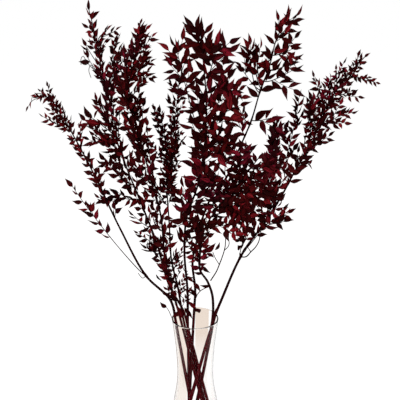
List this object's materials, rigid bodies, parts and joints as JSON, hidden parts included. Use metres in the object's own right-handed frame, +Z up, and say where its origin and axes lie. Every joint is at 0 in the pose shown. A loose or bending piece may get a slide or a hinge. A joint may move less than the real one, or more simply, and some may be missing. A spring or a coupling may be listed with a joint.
{
  "type": "dried ruscus arrangement in a glass vase",
  "caption": "Dried burgundy ruscus stems with pointed leaves, standing fanned out in a waisted clear glass vase.",
  "frame": {"origin": "centre of the vase's flat underside", "axes": "+Z up along the vase's axis, -Y towards the front, +X to the right"},
  "size_m": [0.6649, 0.3045, 0.8867],
  "materials": {
    "glass": "clear, polished",
    "stem": "dried, dyed, matte",
    "leaf": "dried, dyed, satin"
  },
  "bodies": {
    "root": {"back_mid_shoot_1": "leaf", "back_mid_shoot_2": "leaf", "back_mid_shoot_3": "leaf", "back_mid_shoot_4": "leaf", "back_mid_shoot_5": "leaf", "back_mid_stem": "stem", "front_tall_shoot_1": "leaf", "front_tall_shoot_2": "leaf", "front_tall_shoot_3": "leaf", "front_tall_shoot_4": "leaf", "front_tall_shoot_5": "leaf", "front_tall_shoot_6": "leaf", "front_tall_shoot_7": "leaf", "front_tall_stem": "stem", "glass_vase": "glass", "left_arch_shoot_1": "leaf", "left_arch_stem": "stem", "left_mid_shoot_1": "leaf", "left_mid_shoot_2": "leaf", "left_mid_shoot_3": "leaf", "left_mid_shoot_4": "leaf", "left_mid_shoot_5": "leaf", "left_mid_stem": "stem", "left_tall_shoot_1": "leaf", "left_tall_shoot_2": "leaf", "left_tall_shoot_3": "leaf", "left_tall_shoot_4": "leaf", "left_tall_shoot_5": "leaf", "left_tall_shoot_6": "leaf", "left_tall_shoot_7": "leaf", "left_tall_shoot_8": "leaf", "left_tall_stem": "stem", "right_arch_shoot_1": "leaf", "right_arch_shoot_10": "leaf", "right_arch_shoot_11": "leaf", "right_arch_shoot_2": "leaf", "right_arch_shoot_3": "leaf", "right_arch_shoot_4": "leaf", "right_arch_shoot_5": "leaf", "right_arch_shoot_6": "leaf", "right_arch_shoot_7": "leaf", "right_arch_shoot_8": "leaf", "right_arch_shoot_9": "leaf", "right_arch_stem": "stem", "right_low_shoot_1": "leaf", "right_low_shoot_2": "leaf", "right_low_shoot_3": "leaf", "right_low_shoot_4": "leaf", "right_low_shoot_5": "leaf", "right_low_shoot_6": "leaf", "right_low_stem": "stem", "right_tall_shoot_1": "leaf", "right_tall_shoot_2": "leaf", "right_tall_shoot_3": "leaf", "right_tall_shoot_4": "leaf", "right_tall_shoot_5": "leaf", "right_tall_shoot_6": "leaf", "right_tall_shoot_7": "leaf", "right_tall_shoot_8": "leaf", "right_tall_stem": "stem"}
  },
  "joints": []
}
